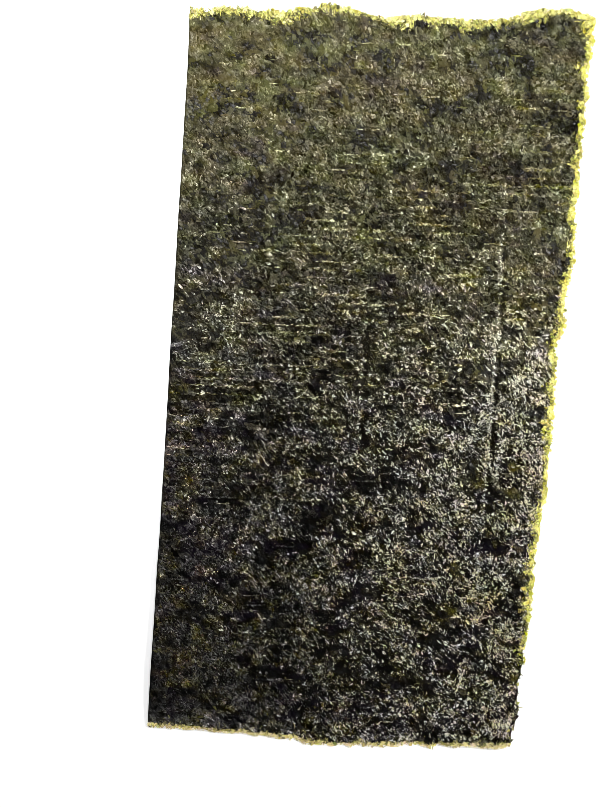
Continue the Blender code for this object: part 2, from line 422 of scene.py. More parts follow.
def paleness(x, y):
    """The middle tone of the flakes at each place, on the scale of TONES: a slope up to the far side, partly
    the flakes' own colour and partly the far end's hazy sheen painted in, paler bands along two sides, pools
    of painted light and shade in places, and patches and clumps that are strongest at the near side's two
    ends."""
    near, _, right, _ = from_sides(x, y)
    glow = NEAR_GLOW[1] * np.exp(-((near / NEAR_GLOW[0]) ** 2))
    glow += RIGHT_GLOW[1] * np.exp(-((right / RIGHT_GLOW[0]) ** 2)) * as_share(0.4 - 10.0 * y)
    # partly painted light: the far end is painted paler for the haze of the sheen there
    slope = 0.426 + 0.8 * x + 40.0 * x**2 + 1.55 * y - 23.0 * x * y
    clumps = 0.10 - 1.2 * np.minimum(y, 0.0) * (0.3 + 36.0 * np.abs(x) + 14.0 * x)
    clumps *= variety(x, y) * clouds(x, y, *PALE_CLUMP)
    patches = np.clip(0.85 + 8.0 * x, 0.5, 1.3) + as_share(20.0 * (y - 0.02)) * np.clip(-20.0 * x, 0.0, 0.8)
    patches += np.clip(50.0 * x, 0.0, 1.6) * near_right(x, y)
    patches *= 0.085 * clouds(x, y, *PALE_PATCH)
    # the mounds are pools of painted light and shade
    return slope + glow + mounds(x, y, PAINTED_LIGHT_AND_SHADE_PLACES) + patches + clumps


def tint(x, y):
    """The lean of the hue at each place, from -1, red-brown, to 1, green: greener towards the far end."""
    return cloudy(x, y, TINT_PATCHES) + 0.2 * np.tanh((y - 0.018) / 0.02)


def richness(x, y):
    """How rich the colour is at each place, 1 as in TONES: richest at the far end and where the flakes are
    pale, greyest at the near left."""
    far, nearness = np.maximum(y, 0.0), 1.0 - np.tanh((y + 0.03) / 0.02)
    lean = 3.5 * far + 2.0 * np.minimum(y, 0.0) - 30.0 * x * far
    lean += 4.0 * x * np.exp(-(((y - 0.015) / 0.030) ** 2)) + (2.5 * x + 3.0 * np.maximum(x, 0.0)) * nearness
    return 0.86 + lean + cloudy(x, y, RICH_PATCHES) * np.clip(0.95 - 10.0 * y, 0.5, 1.5)


def matting(x, y):
    """Relief of the matted flakes, summed over their sizes, with warped edges."""
    warped_x = x + WARP * clouds(x, y, WARP_SIZE, WARP_SEED)
    warped_y = y + WARP * clouds(x, y, WARP_SIZE, WARP_SEED + 1)
    relief = np.zeros_like(x)
    for number, (across, along, rise) in enumerate(MATTED_FLAKES):
        relief += rise * mosaic(warped_x, warped_y, (across, along), MATTED_SEED + number)
    return relief


def web_top(x, y):
    """Height of the upper face: the underside's, the thickness there, and the relief pressed into it."""
    margin = margin_share(x, y)
    thickness = WEB_THICKNESS + (WEB_RIM_THICKNESS - WEB_THICKNESS) * margin
    groove, reed = reed_groove(x, y)
    relief = matting(x, y) + crease(x, y)[0] + REED_RISE * reed - GROOVE_DEPTH * groove
    relief *= 1 - (1 - RIM_RELIEF) * margin
    return lift(x, y) + np.maximum(thickness + relief, LEAST_THICKNESS * thickness)


def web_under(x, y):
    """Height of the underside: rough like the upper face, but never below the table."""
    return lift(x, y) + np.maximum(UNDER_RELIEF * matting(x, y), 0.0)


def grid_faces(start, columns, rows):
    """Quads between the points of a grid that is numbered row by row from start, anticlockwise from above."""
    corner = start + np.arange(rows - 1)[:, None] * columns + np.arange(columns - 1)
    return np.stack([corner, corner + 1, corner + columns + 1, corner + columns], axis=-1).reshape(-1, 4)


def border_of(start, columns, rows):
    """The grid's border points, anticlockwise from above, with the first one again at the end."""
    number = start + np.arange(rows * columns).reshape(rows, columns)
    return np.concatenate([number[0, :-1], number[:-1, -1], number[-1, :0:-1], number[:0:-1, 0], [start]])


def placed(name, data):
    """An object at the origin with that mesh, light or camera."""
    made = bpy.data.objects.new(name, data)
    bpy.context.scene.collection.objects.link(made)
    return made


def finished_object(name, points, faces, material, smooth=False, **values):
    """A mesh object at the origin, riding on the sheet's body. faces is a tuple of arrays, each of polygons
    with the same number of corners, and values gives numbers that the material reads, one for each point."""
    corners = np.concatenate([group.ravel() for group in faces])
    sizes = np.concatenate([np.full(len(group), group.shape[1]) for group in faces])
    mesh = bpy.data.meshes.new(name)
    mesh.vertices.add(len(points))
    mesh.vertices.foreach_set("co", points.astype(np.float32).ravel())
    mesh.loops.add(len(corners))
    mesh.loops.foreach_set("vertex_index", corners.astype(np.int32))
    mesh.polygons.add(len(sizes))
    mesh.polygons.foreach_set("loop_start", (np.cumsum(sizes) - sizes).astype(np.int32))
    mesh.polygons.foreach_set("use_smooth", np.full(len(sizes), smooth))
    mesh.update(calc_edges=True)
    for key, numbers in values.items():
        mesh.attributes.new(key, "FLOAT", "POINT").data.foreach_set("value", numbers.astype(np.float32))
    mesh.materials.append(material)
    made = placed(name, mesh)
    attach(made, "root")
    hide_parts("nori_sheet")


def web_mesh():
    """A closed shell: the upper face on a fine grid, the underside on every other of its points, and a wall
    round the rim that joins two fine edges to each coarse one. The web is blacker under the flakes where the
    reeds show, painted blacker at the near right as painted shade, and painted paler on the creases' lips as
    a painted highlight."""
    columns = 2 * int((BOTTOM_RIGHT[0] - BOTTOM_LEFT[0]) / WEB_CELL / 2) + 1
    rows = 2 * int((TOP_LEFT[1] - BOTTOM_LEFT[1]) / WEB_CELL / 2) + 1
    x, y = spread(*np.meshgrid(np.linspace(0, 1, columns), np.linspace(0, 1, rows)))
    upper = np.stack([x, y, web_top(x, y)], axis=-1)
    under_x, under_y = x[::2, ::2], y[::2, ::2]
    under = np.stack([under_x, under_y, web_under(under_x, under_y)], axis=-1)
    under_rows, under_columns = under_x.shape
    upper_faces = grid_faces(0, columns, rows)
    under_faces = grid_faces(rows * columns, under_columns, under_rows)[:, ::-1]
    fine, coarse = border_of(0, columns, rows), border_of(rows * columns, under_columns, under_rows)
    wall = np.stack([coarse[:-1], coarse[1:], fine[2::2], fine[1::2], fine[:-1:2]], axis=1)
    points = np.concatenate([upper.reshape(-1, 3), under.reshape(-1, 3)])
    x, y = points[:, 0], points[:, 1]
    fields = (thinness, hollow, reedy, thickly, paleness, variety, tint, richness)
    values = {field.__name__: field(x, y) for field in fields}
    # painted highlight on the creases' lips, and painted shade darkening the web at the near right
    values["paleness"] += 0.3 * crease(x, y)[1] - 0.08 * values["reedy"] - 0.2 * near_right(x, y)
    return points, (upper_faces, under_faces, wall), values


def plug(tree, node, inputs):
    """Sets a node's inputs to values, or links them to other nodes' outputs."""
    for key, value in inputs.items():
        value = value.socket if isinstance(value, Signal) else value
        if isinstance(value, bpy.types.NodeSocket):
            tree.links.new(value, node.inputs[key])
        else:
            node.inputs[key].default_value = value


def add_node(tree, kind, inputs, **settings):
    """A node with those settings and inputs."""
    node = tree.nodes.new(kind)
    for key, setting in settings.items():
        setattr(node, key, setting)
    plug(tree, node, inputs)
    return node


def opaque(colour):
    """A colour of three numbers with its alpha, or another node's colour as it is."""
    return (*colour, 1.0) if isinstance(colour, tuple) else colour


class Signal:
    """A number that changes over the surface. Arithmetic on it adds math nodes to its tree."""

    def __init__(self, tree, socket):
        self.tree, self.socket = tree, socket

    def step(self, operation, *others, clamp=False):
        """One math node, on this number and the others."""
        inputs = dict(enumerate((self, *others)))
        node = add_node(self.tree, "ShaderNodeMath", inputs, operation=operation, use_clamp=clamp)
        return Signal(self.tree, node.outputs[0])

    def __add__(self, other):
        return self.step("ADD", other)

    def __sub__(self, other):
        return self.step("SUBTRACT", other)

    def __rsub__(self, other):
        return self.step("MULTIPLY_ADD", -1.0, other)

    def __mul__(self, other):
        return self.step("MULTIPLY", other)

    def between(self, low, high):
        """0 up to low, 1 from high on, and a straight line between them."""
        node = add_node(self.tree, "ShaderNodeMapRange", {"Value": self, "From Min": low, "From Max": high})
        return Signal(self.tree, node.outputs[0])

    def ramp(self, stops):
        """The colour at this number of a ramp with those (position, colour) stops."""
        node = add_node(self.tree, "ShaderNodeValToRGB", {"Fac": self})
        elements = node.color_ramp.elements
        while len(elements) < len(stops):
            elements.new(1.0)
        for element, (position, colour) in zip(elements, stops, strict=True):
            element.position, element.color = position, opaque(colour)
        return node.outputs["Color"]

    def blend(self, first, second):
        """The first colour at 0, the second at 1, and a mix of them between."""
        inputs = {0: self, 6: opaque(first), 7: opaque(second)}
        return add_node(self.tree, "ShaderNodeMix", inputs, data_type="RGBA").outputs[2]


def noise(tree, place, scale, detail, roughness=0.55, distortion=0.0):
    """A noise pattern from 0 to 1, with its scale in repeats for each metre."""
    inputs = {"Vector": place, "Scale": scale, "Detail": detail}
    inputs |= {"Roughness": roughness, "Distortion": distortion}
    return Signal(tree, add_node(tree, "ShaderNodeTexNoise", inputs).outputs["Fac"])


def vector_step(tree, operation, *values):
    """One vector node's output: its vector, or the number that a dot product gives."""
    node = add_node(tree, "ShaderNodeVectorMath", dict(enumerate(values)), operation=operation)
    return node.outputs["Value" if operation == "DOT_PRODUCT" else "Vector"]


CHIP_EDGES = (0.02, 0.16)  # distances from a chip's border, in cells, with none of the chip, and with all


def chips(tree, place, scale, stretch):
    """Dry seaweed breaks the light in small planes: angular chips, which are Voronoi cells drawn out along
    the loose flakes' heading by stretch. Gives a random tone for each chip, 1 inside it and 0 in the gap
    round it, and the height of its own slope, in metres."""
    turned = add_node(tree, "ShaderNodeVectorRotate", {"Vector": place, "Angle": -DRAINED_HEADING}).outputs[0]
    drawn = vector_step(tree, "MULTIPLY", turned, (1 / stretch, 1.0, 1.0))
    inputs = {"Vector": drawn, "Scale": scale, "Randomness": 1.0}
    cell = add_node(tree, "ShaderNodeTexVoronoi", inputs).outputs
    edge = add_node(tree, "ShaderNodeTexVoronoi", inputs, feature="DISTANCE_TO_EDGE").outputs["Distance"]
    slope = vector_step(tree, "SUBTRACT", cell["Color"], (0.5, 0.5, 0.5))
    height = vector_step(tree, "DOT_PRODUCT", slope, vector_step(tree, "SUBTRACT", drawn, cell["Position"]))
    tone = add_node(tree, "ShaderNodeSeparateColor", {"Color": cell["Color"]}).outputs[2]
    return Signal(tree, tone), Signal(tree, edge).between(*CHIP_EDGES), Signal(tree, height)


CHIP_SCALE, FINE_CHIP_SCALE = 1150.0, 3000.0  # chips for each metre
CHIP_STRETCH, FINE_CHIP_STRETCH = 1.9, 1.4
CHIP_SLOPE, FINE_CHIP_SLOPE = 0.55, 0.3
CHIP_STRAY, CHIP_STRAY_SCALE = 0.0007, 1100.0  # how far the chips' edges stray, in bends for each metre
WRINKLE_HEIGHT, WRINKLE_SCALE = 0.00005, 900.0
PATCH_SCALE = 260.0
FINE_GAP_SHARE = 0.6  # how much of a gap the gaps between fine chips are


def seaweed_grain():
    """Shared by every finish here: cloudy patches, and the angular chips, large and fine, that dry seaweed
    breaks up into. The two contrasts say how far each kind's random tones spread Chance about 0.

    Patch is a low noise, Chip and Fine each chip's tone, and Gap 0 between chips and 1 on them. Height sums
    the chips' slopes and fine wrinkles, in metres for a bump."""
    group = bpy.data.node_groups.new("seaweed_grain", "ShaderNodeTree")
    for name in ("Chip Contrast", "Fine Contrast"):
        group.interface.new_socket(name, in_out="INPUT", socket_type="NodeSocketFloat")
    contrast = group.nodes.new("NodeGroupInput").outputs
    place = add_node(group, "ShaderNodeTexCoord", {}).outputs["Object"]
    stray = add_node(group, "ShaderNodeTexNoise", {"Vector": place, "Scale": CHIP_STRAY_SCALE, "Detail": 2.0})
    stray = vector_step(group, "SUBTRACT", stray.outputs["Color"], (0.5, 0.5, 0.5))
    strayed = vector_step(group, "MULTIPLY_ADD", stray, 3 * (CHIP_STRAY,), place)
    chip, chip_gap, chip_height = chips(group, strayed, CHIP_SCALE, CHIP_STRETCH)
    fine, fine_gap, fine_height = chips(group, strayed, FINE_CHIP_SCALE, FINE_CHIP_STRETCH)
    wrinkles = noise(group, place, WRINKLE_SCALE, 1.0) * WRINKLE_HEIGHT
    outputs = {
        "Patch": noise(group, place, PATCH_SCALE, 4.0, 0.6, 0.4),
        "Chip": chip,
        "Fine": fine,
        "Chance": (chip - 0.5) * contrast["Chip Contrast"] + (fine - 0.5) * contrast["Fine Contrast"],
        "Gap": chip_gap * (fine_gap * FINE_GAP_SHARE + (1 - FINE_GAP_SHARE)),
        "Height": chip_height * CHIP_SLOPE + fine_height * FINE_CHIP_SLOPE + wrinkles,
    }
    for name in outputs:
        group.interface.new_socket(name, in_out="OUTPUT", socket_type="NodeSocketFloat")
    plug(group, group.nodes.new("NodeGroupOutput"), outputs)
    return group


SEAWEED_GRAIN = seaweed_grain()
CHIP_CONTRAST, FINE_CONTRAST, PATCH_CONTRAST = 0.9, 0.5, 0.4  # how far each spreads the web's tones
SMOOTH_CONTRAST = 0.8  # how much of the chips' contrast a smooth blade shows
# painted shade in the gaps between chips and in a smooth blade's cracks
GAP_SHADE, SMOOTH_GAP_SHADE = 0.85, 0.4  # of the gaps between chips, and of cracks in a smooth blade
# painted shade in the reeds' grooves and the hollows
HOLLOW_SHADE = 0.85  # of the reeds' grooves and the hollows

LINE_WAVER, LINE_WAVER_SCALE = 0.0009, 70.0
LINE_BREAK_SCALE, LINE_BREAK_STEP = 160.0, 7.31  # the breaks' noise: along a line, and from row to row
LINE_BREAKS = (0.50, 0.58)  # noise where a line is missing, and where it is whole
LINE_EDGES = (0.00032, 0.00014)  # distances from the middle of a line with none of it, and with all
GROOVE_BESIDE = 0.00058  # from the middle of a line to that of its groove
GROOVE_EDGES = (0.00042, 0.00020)


def grain_in(tree, chip_contrast, fine_contrast):
    """The shared grain, placed in a material with its own contrasts."""
    inputs = {"Chip Contrast": chip_contrast, "Fine Contrast": fine_contrast}
    node = tree.nodes.new("ShaderNodeGroup")
    node.node_tree = SEAWEED_GRAIN
    plug(tree, node, inputs)
    return {output.name: Signal(tree, output) for output in node.outputs}


def reed_marks(tree):
    """The marks that the reeds pressed: a number that is 1 on broken lines along the rows, painted pale as a
    painted highlight, and one that is 1 in the painted shadow of the groove beside each. Each row breaks up
    in its own way."""
    place = add_node(tree, "ShaderNodeTexCoord", {}).outputs["Object"]
    parts = add_node(tree, "ShaderNodeSeparateXYZ", {0: place}).outputs
    across, along = Signal(tree, parts["X"]), Signal(tree, parts["Y"])
    level = across * -REED_CLIMB + along + noise(tree, place, LINE_WAVER_SCALE, 1.0) * LINE_WAVER
    rows = level.step("DIVIDE", REED_PITCH)
    number = rows.step("ROUND")
    away = (rows - number) * REED_PITCH
    inputs = {"X": across * LINE_BREAK_SCALE, "Y": number * LINE_BREAK_STEP}
    own = add_node(tree, "ShaderNodeCombineXYZ", inputs).outputs[0]
    shown = noise(tree, own, 1.0, 3.0, 0.7).between(*LINE_BREAKS)
    on_line = away.step("ABSOLUTE").between(*LINE_EDGES)
    groove_shadow = (away + GROOVE_BESIDE).step("ABSOLUTE").between(*GROOVE_EDGES)
    return on_line * shown, groove_shadow * shown


BLACK = (0.0013, 0.0010, 0.0005)
SOOT = (0.0072, 0.0061, 0.0022)
SLATE = (0.0125, 0.0122, 0.0124)
DARK_OLIVE = (0.0215, 0.0195, 0.0092)
OLIVE = (0.060, 0.0565, 0.0300)
FADED_OLIVE = (0.137, 0.130, 0.082)
PALE_OLIVE = (0.302, 0.290, 0.214)
# partly the palest flakes' own colour and partly a painted glint on their crests
BEIGE_AND_GLINT = (0.730, 0.707, 0.550)
PLUM = (0.0010, 0.0003, 0.0018)  # what a red leaf adds
YELLOW_OLIVE = (0.19, 0.185, 0.045)
THIN_YELLOW = (0.47, 0.435, 0.098)
PALE_YELLOW = (0.78, 0.72, 0.28)
CLEAR = (1.0, 1.0, 1.0)
FILM_TINT = (1.0, 0.94, 0.70)  # the dried film over the leaf is a little amber, and so is its sheen

# Colours by tone, from the blackest flake, 0, to the palest, 1, each about 2.5 times as bright as the last.
# The palest is partly a painted glint. Then those of smooth blades, which stay dark, of the reeds' pale
# lines, a painted highlight, and of the thin margin
TONES = (
    (0.0, BLACK),
    (0.2, SOOT),
    (0.4, DARK_OLIVE),
    (0.6, OLIVE),
    (0.78, FADED_OLIVE),
    (0.92, PALE_OLIVE),
    (1.0, BEIGE_AND_GLINT),
)
FLAT_TONES = ((0.1, BLACK), (0.4, SOOT), (0.6, SLATE), (0.8, DARK_OLIVE), (1.0, OLIVE))
LINE_TONES = ((0.1, OLIVE), (0.6, FADED_OLIVE), (1.0, PALE_OLIVE))
THIN_TONES = ((0.0, YELLOW_OLIVE), (0.4, THIN_YELLOW), (0.8, PALE_YELLOW))

WEB_SHEEN = 0.20
DULL_TONES = (-0.2, 0.5)  # the blackest flakes are dull: tones with no sheen, and with all of it
FLAT_TONE_RISE, FLAT_TONE_BASE = 2.2, -1.02  # a smooth blade's tone, for each unit of paleness, and at none
LINE_HEIGHT = 0.00012
CHIPPED = (0.0, 0.3)  # how thickly flakes lie where the web is all smooth, and where it is all chips
FILMED = (0.1, 0.6)  # how thickly they lie where the film's sheen is clear, and where it is all amber
FRINGE_START, FRINGE_SHARPNESS = 0.85, 4.0  # of the yellow, by how thin the web is
RED_TINTS = (-0.35, -0.75)  # tints where red leaves begin, and where all are red
RED_LOSS = 0.4  # of richness on a red leaf


def attribute(tree, name):
    """The number that each point carries under that name."""
    return Signal(tree, add_node(tree, "ShaderNodeAttribute", {}, attribute_name=name).outputs["Fac"])


def new_finish(name):
    """A material, its tree and its shader."""
    material = bpy.data.materials.new(name)
    material.use_nodes = True
    return material, material.node_tree, material.node_tree.nodes["Principled BSDF"]


def tinted(tree, colour):
    """A colour turned towards brown or green by the tint, and greyer or richer by the richness. The brownest
    is a red leaf's, so it turns purple-grey."""
    leaning = attribute(tree, "tint")
    red = leaning.between(*RED_TINTS)
    rich = (attribute(tree, "richness") - red * RED_LOSS).step("MAXIMUM", 0.1)
    inputs = {"Hue": leaning * 0.045 + 0.49, "Saturation": rich, "Color": colour}
    turned = add_node(tree, "ShaderNodeHueSaturation", inputs).outputs[0]
    return red.blend(turned, vector_step(tree, "MULTIPLY_ADD", turned, (1.0, 0.95, 1.0), PLUM))


def bumped(tree, height, strength=1.0):
    """The normal that a height in metres gives."""
    inputs = {"Strength": strength, "Distance": 1.0, "Height": height}
    return add_node(tree, "ShaderNodeBump", inputs).outputs["Normal"]


def web_finish():
    """Smooth blades are slate. Where flakes curl thickly, the web breaks up into chips of every tone from
    black to beige, with gaps painted black as painted shade. Reeds leave broken lines painted pale as a
    painted highlight, with painted shadow in a groove beside each, the hollows are painted black as painted
    shade, and the thin margin is yellow. The blackest chips, the gaps and the hollows are dull."""
    material, tree, shader = new_finish("pressed_web")
    names = ("thickly", "variety", "paleness", "reedy", "hollow", "thinness")
    thick, varied, pale, reeds, hollowed, thin = (attribute(tree, name) for name in names)
    grain, (line, groove) = grain_in(tree, CHIP_CONTRAST, FINE_CONTRAST), reed_marks(tree)
    patch, gap = grain["Patch"], (1.0 - grain["Gap"]) * varied
    tone = grain["Chance"] * varied + pale + (patch - 0.5) * PATCH_CONTRAST
    # painted shade: the gaps between chips are blended towards black
    mottled = (gap * GAP_SHADE).blend(tone.ramp(TONES), BLACK)
    flat_tone = pale * FLAT_TONE_RISE + FLAT_TONE_BASE + patch + grain["Chance"] * SMOOTH_CONTRAST
    smooth = (gap * SMOOTH_GAP_SHADE).blend(flat_tone.ramp(FLAT_TONES), BLACK)
    # painted highlight: the reeds' pale lines
    line = line * reeds * grain["Gap"]
    body = thick.between(*CHIPPED).blend(smooth, mottled)
    body = line.blend(body, grain["Fine"].ramp(LINE_TONES))
    # painted shade: the reeds' grooves and the hollows are blended towards black
    dark = (groove * reeds).step("MULTIPLY", varied, clamp=True).step("MAXIMUM", hollowed)
    body = (dark * HOLLOW_SHADE).blend(tinted(tree, body), BLACK)
    thin = (thin - FRINGE_START + grain["Chip"] * 0.5 + patch * 0.6) * FRINGE_SHARPNESS
    yellow = gap.blend((pale * -0.6 + grain["Fine"]).ramp(THIN_TONES), OLIVE)
    bright = tone.between(*DULL_TONES).step("MAXIMUM", thick.between(0.5, 0.1))
    inputs = {
        "Base Color": thin.blend(body, yellow),
        "Roughness": thick * 0.08 + patch * 0.2 + 0.10,
        "Specular IOR Level": grain["Gap"] * (1.0 - dark) * bright * WEB_SHEEN,
        "Specular Tint": thick.between(*FILMED).blend(CLEAR, FILM_TINT),
        "Normal": bumped(tree, line * LINE_HEIGHT + grain["Height"]),
    }
    plug(tree, shader, inputs)
    return material


web_points, web_faces, web_values = web_mesh()
finished_object("web", web_points, web_faces, web_finish(), smooth=True, **web_values)

# ==== Blades ====
# Larger scraps of the leaf that dried flat on top of the web, thin and a little cupped. They are what looks
# smooth and slate-coloured between the curled flakes.

BLADES_PER_ROW = 40
BLADE_SEED = 201
BLADE_LENGTH = (0.0016, 0.0050)
BLADE_WIDTH = (0.0012, 0.0032)
BLADE_RISE = 0.00003  # how far the middle of a blade stands over the web
BLADE_DROOP = 0.00006  # how far its edge is pressed in below its middle
BLADE_SKIRT = 0.00010  # how far its edge reaches down into the web
BLADE_CORNERS = 9
BLADE_MARGIN = 0.0032  # none lies nearer to a side
INNER_RING, LOWER_RING = 0.55, 0.94  # how far out a scrap's inner and lower rings are
LOWEST = 0.00001  # nothing reaches further down
SLENDERNESS = 1.9  # rows of the sheet for each column


def strewn(per_row, seed):
    """Places strewn evenly over the sheet: one at a random spot in each cell of a grid of shares u and v."""
    rng = np.random.default_rng(seed)
    rows = int(per_row * SLENDERNESS)
    column, row = np.meshgrid(np.arange(per_row), np.arange(rows))
    u = (column + rng.random(column.shape)) / per_row
    v = (row + rng.random(row.shape)) / rows
    x, y = spread(u.ravel(), v.ravel())
    return x, y, rng


def thinned(rng, chance, *columns):
    """Those of the places that a draw keeps, each with its own chance."""
    keep = rng.random(len(chance)) < chance
    return [column[keep] for column in columns]


def within(rng, count, *spans):
    """For each span, that many random numbers from its first number to its second."""
    return [rng.uniform(*span, count) for span in spans]


def flake_values(x, y, tone, each, rng, rough_tone=0.1):
    """What a flake's finish reads: its tone, with a little more chance at each point, and its own lean of
    hue and richness about those of the place."""
    own = {
        "variety": variety(x, y),
        "tint": tint(x, y) + rng.normal(0.0, 1.0, len(x)) * (0.35 - 3.0 * y),
        "richness": richness(x, y) + rng.normal(0.0, 1.0, len(x)) * np.clip(0.2 - 2.5 * y, 0.08, 0.4),
    }
    own = {name: np.repeat(value, each) for name, value in own.items()}
    rough = rng.normal(0.0, rough_tone, each * len(x)) * own["variety"]
    return {"tone": np.repeat(tone, each) + rough, **own}


def leaf_scraps(x, y, heading, length, width, rise, cup, skirt, corners, rng):
    """Thin scraps: a middle point, a ring halfway out and a ragged ring at the edge, draped over the web. The
    middle stands rise above it, the edge cup higher still, tipped at random, with a skirt down to a closed
    underside."""
    count = len(x)
    turn = np.linspace(0.0, 2 * np.pi, corners, endpoint=False)
    reach = rng.uniform(0.5, 1.3, (count, corners))
    tip = rng.uniform(-1.0, 1.0, (count, 2))
    local_x = np.cos(turn) * reach * length[:, None] / 2
    local_y = np.sin(turn) * reach * width[:, None] / 2
    edge_x = local_x * np.cos(heading)[:, None] - local_y * np.sin(heading)[:, None]
    edge_y = local_x * np.sin(heading)[:, None] + local_y * np.cos(heading)[:, None]
    share = np.repeat([0.0, INNER_RING, 1.0, LOWER_RING], [1, corners, corners, corners])
    ring_x = np.concatenate([np.zeros((count, 1)), edge_x, edge_x, edge_x], axis=1) * share
    ring_y = np.concatenate([np.zeros((count, 1)), edge_y, edge_y, edge_y], axis=1) * share
    tipped = 0.9 * (ring_x * tip[:, :1] + ring_y * tip[:, 1:]) / length[:, None]
    raised = rise + cup[:, None] * share**2 + np.abs(cup[:, None]) * tipped
    raised[:, -corners:] -= skirt
    place_x, place_y = x[:, None] + ring_x, y[:, None] + ring_y
    height = np.maximum(web_top(place_x, place_y) + np.maximum(raised, -skirt), LOWEST)
    points = np.stack([place_x, place_y, height], axis=-1).reshape(-1, 3)

    each = 1 + 3 * corners
    start = each * np.arange(count)[:, None, None]
    corner = np.arange(corners)
    following = (corner + 1) % corners
    inner, outer, lower = 1 + corner, 1 + corners + corner, 1 + 2 * corners + corner
    middle = np.stack([np.zeros_like(corner), inner, 1 + following], axis=1)
    band = np.stack([inner, outer, 1 + corners + following, 1 + following], axis=1)
    wall = np.stack([outer, lower, 1 + 2 * corners + following, 1 + corners + following], axis=1)
    under = lower[::-1][None]
    faces = [(start + group).reshape(-1, group.shape[1]) for group in (middle, band, wall, under)]
    return points, (faces[0], np.concatenate([faces[1], faces[2]]), faces[3]), each


def flake_finish(name, stops, gloss, sheen, relief):
    """A flake's colour goes by its own tone, with the shared grain over it. gloss is its roughness, sheen its
    specular level, and relief how strongly the grain bumps it."""
    material, tree, shader = new_finish(name)
    grain, varied = grain_in(tree, 0.0, FINE_CONTRAST), attribute(tree, "variety")
    tone = attribute(tree, "tone") + (grain["Patch"] - 0.5) * 0.5 + grain["Chance"] * varied
    # painted shade in the cracks between the grain's chips
    cracks = (1.0 - grain["Gap"]) * varied * SMOOTH_GAP_SHADE
    shiny = grain["Gap"] * tone.between(*DULL_TONES) * varied.step("MAXIMUM", 0.5)
    inputs = {
        "Base Color": tinted(tree, cracks.blend(tone.ramp(stops), SOOT)),
        "Roughness": grain["Patch"] * 0.12 + gloss,
        "Specular IOR Level": shiny * sheen,
        "Specular Tint": opaque(FILM_TINT),
        "Normal": bumped(tree, grain["Height"], relief),
    }
    plug(tree, shader, inputs)
    return material


def blades():
    """Blades where few flakes lie, and most of them towards the far end."""
    x, y, rng = strewn(BLADES_PER_ROW, BLADE_SEED)
    wanted = (0.65 - 0.75 * thickly(x, y)) * (1 - hollow(x, y)) * np.clip(0.6 + 6.0 * y, 0.2, 1.0)
    x, y = thinned(rng, wanted * (rim_distance(x, y) > BLADE_MARGIN), x, y)
    count = len(x)
    heading = rng.normal(0.0, 0.9, count)
    length, width = within(rng, count, BLADE_LENGTH, BLADE_WIDTH)
    shape = (heading, length, width, BLADE_RISE, np.full(count, -BLADE_DROOP), BLADE_SKIRT, BLADE_CORNERS)
    points, faces, each = leaf_scraps(x, y, *shape, rng)
    tone = rng.random(count) + FLAT_TONE_RISE * paleness(x, y) + FLAT_TONE_BASE
    finish = flake_finish("leaf_blade", FLAT_TONES, 0.30, 0.25, 1.0)
    finished_object("blades", points, faces, finish, smooth=True, **flake_values(x, y, tone, each, rng))


blades()

# ==== Crisped chips ====
# Small angular scraps of leaf that stayed on top, lifted at one side and dried pale.

CHIPS_PER_ROW = 78
CHIP_SEED = 251
CHIP_LENGTH = (0.0006, 0.0018)
CHIP_WIDTH = (0.00040, 0.00090)
CHIP_CUP = (0.00004, 0.00020)
CHIP_SKIRT = 0.00010
CHIP_CORNERS = 6
CHIP_MARGIN = 0.0012
# painted highlight along the creases' lips
LIP_HIGHLIGHT = 0.2  # how much paler the flakes on a crease's lip are


def covered(x, y, least, most):
    """The share of places that flakes take: most where they lie thickly or on a lip, few in a hollow."""
    return (least + most * thickly(x, y) ** 1.5 + crease(x, y)[1]) * (1 - hollow(x, y)) ** 2


def own_tone(x, y, rng):
    """A tone for each flake, by chance about the middle one of its place, and painted paler on a crease's lip
    as a painted highlight.
    """
    return paleness(x, y) + variety(x, y) * (rng.random(len(x)) - 0.5) + LIP_HIGHLIGHT * crease(x, y)[1]


def crisped_chips():
    """Chips where flakes lie thickly, turned roughly the way that the water ran off."""
    x, y, rng = strewn(CHIPS_PER_ROW, CHIP_SEED)
    x, y = thinned(rng, covered(x, y, 0.05, 0.75) * (rim_distance(x, y) > CHIP_MARGIN), x, y)
    count = len(x)
    heading = rng.normal(DRAINED_HEADING, 0.8, count)
    length, width, cup = within(rng, count, CHIP_LENGTH, CHIP_WIDTH, CHIP_CUP)
    shape = (heading, length, width, 0.0, cup, CHIP_SKIRT, CHIP_CORNERS)
    points, faces, each = leaf_scraps(x, y, *shape, rng)
    tone = own_tone(x, y, rng)
    finish = flake_finish("crisped_chip", TONES, 0.22, 0.25, 1.0)
    finished_object("crisped_chips", points, faces, finish, **flake_values(x, y, tone, each, rng))


crisped_chips()

# ==== Curled flakes ====
# Chopped shreds of leaf that curled up and crisped as the sheet dried. Those on a reed's row lie along it,
# and the others the way that the water ran off. They catch the light on their crests.

SHRED_SINK = 0.00006  # how far a shred's edges reach down into the web
SHRED_BEND = 0.6  # radians either way, from end to end
SHRED_MARGIN = 0.0009
KINK = 0.28  # radians that a shred turns by chance at each station
ROW_STRAY = 0.00022
PALEST_TONE, FAR_TONE_LOSS = 1.3, 0.5  # no flake is paler, and how much less that is at the far end
# painted highlight on the dashes, and painted shade beside them
DASH_HIGHLIGHT, BESIDE_SHADE = 0.32, 0.08  # paler on a dash than beside it, and darker there than elsewhere
DASH_RICHNESS = 0.8  # how much richer they are on a dash

# Kinds: name, cells for each row, seed, stations, lengths, widths, crest heights, how much paler, roughness,
# sheen
SHRED_KINDS = (
    ("broad_shreds", 84, 301, 4, (0.0008, 0.0024), (0.0004, 0.0008), (0.0001, 0.00024), -0.12, 0.16, 0.15),
    ("middling_shreds", 112, 302, 3, (0.0008, 0.0022), (0.00036, 0.00076), (0.0001, 0.00026), 0, 0.18, 0.15),
    ("narrow_shreds", 150, 303, 3, (0.0006, 0.0018), (0.00026, 0.00056), (0.0001, 0.00026), 0.1, 0.22, 0.18),
)


